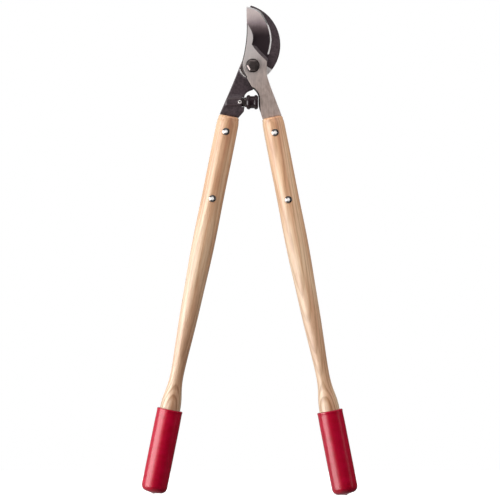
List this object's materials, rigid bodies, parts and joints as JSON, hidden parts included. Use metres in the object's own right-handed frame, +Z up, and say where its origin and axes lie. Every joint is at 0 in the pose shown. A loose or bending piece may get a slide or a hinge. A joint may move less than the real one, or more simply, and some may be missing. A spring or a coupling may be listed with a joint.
{
  "type": "bypass loppers",
  "caption": "Long-handled bypass loppers: a ground curved blade passes a forged hook on a pivot bolt, with turned wooden handles, dipped grips and a rubber bumper.",
  "frame": {"origin": "on the pivot axis, in the plane of the blade's front face, where the bolt head bears", "axes": "+Z up to the jaw tips, +X to the blade's handle, -Y out of the blade's front face; shown closed"},
  "size_m": [0.3712, 0.0449, 0.8428],
  "materials": {
    "forged_black": "satin black paint over a forged skin",
    "ground_steel": "satin ground, with a bright honed bevel",
    "bolt_black": "glossy black oxide",
    "zinc_steel": "bright zinc",
    "bronze": "plain bearing bronze",
    "nylon": "plain",
    "rubber": "matt moulded",
    "rivet_steel": "bright domed",
    "wood": "clear gloss lacquer",
    "grip_vinyl": "glossy dipped vinyl"
  },
  "bodies": {
    "hook_half": {"hook_forging": "forged_black", "left_handle": "wood", "left_grip": "grip_vinyl", "left_rivets": "rivet_steel", "left_rivet_burrs": "rivet_steel", "pivot_bolt": "bolt_black", "thrust_washer": "bronze", "pivot_washer": "zinc_steel", "pivot_nut": "zinc_steel", "nut_lock_ring": "nylon", "bumper_stud": "zinc_steel", "bumper_jam_nut": "bolt_black", "bumper_washer": "bolt_black", "rubber_bumper": "rubber"},
    "blade_half": {"blade_forging": "ground_steel", "pivot_bush": "bronze", "right_handle": "wood", "right_grip": "grip_vinyl", "right_rivets": "rivet_steel", "right_rivet_burrs": "rivet_steel"}
  },
  "joints": [
    {"name": "jaw_pivot", "type": "hinge", "parent": "hook_half", "child": "blade_half", "pos_m": [0, 0, 0], "axis": [0, -1, 0], "range_deg": [0, 65]}
  ]
}
